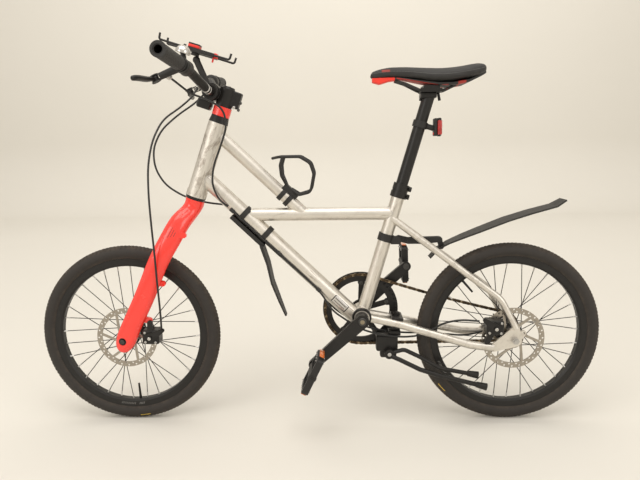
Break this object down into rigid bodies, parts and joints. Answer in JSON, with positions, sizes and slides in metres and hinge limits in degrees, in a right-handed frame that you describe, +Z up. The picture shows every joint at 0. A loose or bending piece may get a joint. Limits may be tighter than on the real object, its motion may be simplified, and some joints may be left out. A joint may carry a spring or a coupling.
{
  "type": "bicycle",
  "caption": "Small-wheel bicycle with a raw metal frame, a red one-sided fork, disc brakes, a geared rear hub, mudguards, a two-leg stand and handlebar fittings",
  "frame": {"origin": "on the ground, midway between the two wheel axles, in the middle plane of the frame", "axes": "+X forward, +Y to the rider's left, +Z up"},
  "size_m": [1.4869, 0.6452, 1.0084],
  "materials": {
    "head_tube": "brushed raw",
    "upper_tube": "brushed raw",
    "down_tube": "brushed raw",
    "top_tube": "brushed raw",
    "seat_tube": "brushed raw",
    "bottom_bracket_shell": "brushed raw",
    "left_chainstay": "brushed raw",
    "right_chainstay": "brushed raw",
    "left_seatstay": "brushed raw",
    "right_seatstay": "brushed raw",
    "headset_cups": "satin black",
    "seat_clamp": "satin black",
    "bottle_cage": "matt black",
    "front_mudguard": "matt black",
    "mudguard_strap": "matt black",
    "rear_caliper": "satin black",
    "chain": "oiled chain",
    "rear_axle": "bright steel",
    "kickstand_mount": "satin black",
    "frame_cables": "matt black",
    "fork": "gloss red lacquer",
    "front_axle": "satin black",
    "headset_spacer": "gloss red lacquer",
    "stem": "satin black",
    "handlebar": "satin black",
    "grips": "soft grip",
    "bar_controls": "matt black",
    "bar_fittings": "matt black",
    "front_caliper": "satin black",
    "steering_cables": "matt black",
    "front_tyre": "worn rubber",
    "front_rim": "satin black",
    "front_spokes": "bright steel",
    "front_hub": "satin black",
    "front_rotor": "bright steel",
    "rear_tyre": "worn rubber",
    "rear_rim": "satin black",
    "rear_spokes": "bright steel",
    "rear_hub": "satin black",
    "rear_rotor": "bright steel",
    "left_crank": "satin black",
    "right_crank": "satin black",
    "chainring": "satin black",
    "rear_sprocket": "bright steel",
    "left_pedal": "matt black",
    "right_pedal": "matt black",
    "kickstand": "satin black",
    "seatpost": "satin black",
    "saddle_cover": "matt cover",
    "saddle_shell": "matt black",
    "tail_light": "matt black",
    "mudguard_arm": "matt black",
    "rear_mudguard": "matt black",
    "left_brake_lever": "satin black",
    "right_brake_lever": "satin black",
    "front_caliper_arm": "satin black",
    "rear_caliper_arm": "satin black",
    "shift_lever": "matt black",
    "phone_holder": "matt black"
  },
  "bodies": {
    "frame": {"head_tube": "head_tube", "upper_tube": "upper_tube", "down_tube": "down_tube", "top_tube": "top_tube", "seat_tube": "seat_tube", "bottom_bracket_shell": "bottom_bracket_shell", "left_chainstay": "left_chainstay", "right_chainstay": "right_chainstay", "left_seatstay": "left_seatstay", "right_seatstay": "right_seatstay", "headset_cups": "headset_cups", "seat_clamp": "seat_clamp", "bottle_cage": "bottle_cage", "front_mudguard": "front_mudguard", "mudguard_strap": "mudguard_strap", "rear_caliper": "rear_caliper", "chain": "chain", "rear_axle": "rear_axle", "kickstand_mount": "kickstand_mount", "frame_cables": "frame_cables"},
    "steering": {"fork": "fork", "front_axle": "front_axle", "headset_spacer": "headset_spacer", "stem": "stem", "handlebar": "handlebar", "grips": "grips", "bar_controls": "bar_controls", "bar_fittings": "bar_fittings", "front_caliper": "front_caliper", "steering_cables": "steering_cables"},
    "front_wheel": {"front_tyre": "front_tyre", "front_rim": "front_rim", "front_spokes": "front_spokes", "front_hub": "front_hub", "front_rotor": "front_rotor"},
    "rear_wheel": {"rear_tyre": "rear_tyre", "rear_rim": "rear_rim", "rear_spokes": "rear_spokes", "rear_hub": "rear_hub", "rear_rotor": "rear_rotor"},
    "crankset": {"left_crank": "left_crank", "right_crank": "right_crank", "chainring": "chainring"},
    "sprocket": {"rear_sprocket": "rear_sprocket"},
    "left_pedal": {"left_pedal": "left_pedal"},
    "right_pedal": {"right_pedal": "right_pedal"},
    "kickstand": {"kickstand": "kickstand"},
    "seatpost": {"seatpost": "seatpost", "saddle_cover": "saddle_cover", "saddle_shell": "saddle_shell", "tail_light": "tail_light"},
    "mudguard_arm": {"mudguard_arm": "mudguard_arm"},
    "mudguard_blade": {"rear_mudguard": "rear_mudguard"},
    "left_brake_lever": {"left_brake_lever": "left_brake_lever"},
    "right_brake_lever": {"right_brake_lever": "right_brake_lever"},
    "front_caliper_arm": {"front_caliper_arm": "front_caliper_arm"},
    "rear_caliper_arm": {"rear_caliper_arm": "rear_caliper_arm"},
    "shift_lever": {"shift_lever": "shift_lever"},
    "phone_holder": {"phone_holder": "phone_holder"}
  },
  "joints": [
    {"name": "steering", "type": "hinge", "parent": "frame", "child": "steering", "pos_m": [0.31257, 0, 0.609], "axis": [-0.3338, 0, 0.9426], "range_deg": [-60, 60], "deforming": ["steering_cables"]},
    {"name": "front_wheel_spin", "type": "hinge", "parent": "steering", "child": "front_wheel", "pos_m": [0.5035, 0, 0.24], "axis": [0, 1, 0], "continuous": true},
    {"name": "rear_wheel_spin", "type": "hinge", "parent": "frame", "child": "rear_wheel", "pos_m": [-0.5035, 0, 0.24], "axis": [0, 1, 0], "continuous": true},
    {"name": "crank_spin", "type": "hinge", "parent": "frame", "child": "crankset", "pos_m": [-0.116, 0, 0.2906], "axis": [0, 1, 0], "continuous": true},
    {"name": "sprocket_spin", "type": "hinge", "parent": "frame", "child": "sprocket", "pos_m": [-0.5035, 0, 0.24], "axis": [0, 1, 0], "continuous": true},
    {"name": "left_pedal_spin", "type": "hinge", "parent": "crankset", "child": "left_pedal", "pos_m": [0.00974, 0, 0.17619], "axis": [0, 1, 0], "continuous": true},
    {"name": "right_pedal_spin", "type": "hinge", "parent": "crankset", "child": "right_pedal", "pos_m": [-0.24174, 0, 0.40501], "axis": [0, 1, 0], "continuous": true},
    {"name": "kickstand_swing", "type": "hinge", "parent": "frame", "child": "kickstand", "pos_m": [-0.189, 0, 0.1886], "axis": [0, -1, 0], "range_deg": [0, 70], "stiffness_Nm_per_rad": 1.2, "springref_deg": -28.65},
    {"name": "seatpost_slide", "type": "slide", "parent": "frame", "child": "seatpost", "axis": [-0.284, 0, 0.9588], "range_m": [-0.06, 0.04]},
    {"name": "mudguard_arm_tilt", "type": "hinge", "parent": "frame", "child": "mudguard_arm", "pos_m": [-0.23806, 0, 0.48775], "axis": [0, 1, 0], "range_deg": [-3, 10]},
    {"name": "mudguard_blade_tilt", "type": "hinge", "parent": "mudguard_arm", "child": "mudguard_blade", "pos_m": [-0.31906, 0, 0.49075], "axis": [0, 1, 0], "range_deg": [-3, 8]},
    {"name": "left_brake_squeeze", "type": "hinge", "parent": "steering", "child": "left_brake_lever", "pos_m": [0.35457, 0.16067, 0.88838], "axis": [0.46, 0, 0.8879], "range_deg": [0, 14], "stiffness_Nm_per_rad": 0.8, "springref_deg": -17.19},
    {"name": "right_brake_squeeze", "type": "hinge", "parent": "steering", "child": "right_brake_lever", "pos_m": [0.35457, -0.16067, 0.88838], "axis": [-0.46, 0, -0.8879], "range_deg": [0, 14], "stiffness_Nm_per_rad": 0.8, "springref_deg": -17.19},
    {"name": "front_caliper_pull", "type": "hinge", "parent": "steering", "child": "front_caliper_arm", "pos_m": [0.4335, 0, 0.248], "axis": [0, 1, 0], "range_deg": [0, 21], "stiffness_Nm_per_rad": 0.3, "springref_deg": -17.19},
    {"name": "rear_caliper_pull", "type": "hinge", "parent": "frame", "child": "rear_caliper_arm", "pos_m": [-0.4515, 0, 0.274], "axis": [0, 1, 0], "range_deg": [0, 21], "stiffness_Nm_per_rad": 0.3, "springref_deg": -17.19},
    {"name": "shift_lever_push", "type": "hinge", "parent": "steering", "child": "shift_lever", "pos_m": [0.29536, -0.1706, 0.88224], "axis": [0, 0, -1], "range_deg": [0, 24], "stiffness_Nm_per_rad": 0.15, "springref_deg": -17.19},
    {"name": "phone_holder_tilt", "type": "hinge", "parent": "steering", "child": "phone_holder", "pos_m": [0.28916, 0.03, 0.9465], "axis": [0, 1, 0], "range_deg": [-15, 15]}
  ],
  "couplings": [
    {"joint": "sprocket_spin", "follows": "crank_spin", "ratio": 2.4},
    {"joint": "rear_caliper_pull", "follows": "left_brake_squeeze", "ratio": 1.5},
    {"joint": "front_caliper_pull", "follows": "right_brake_squeeze", "ratio": 1.5}
  ]
}
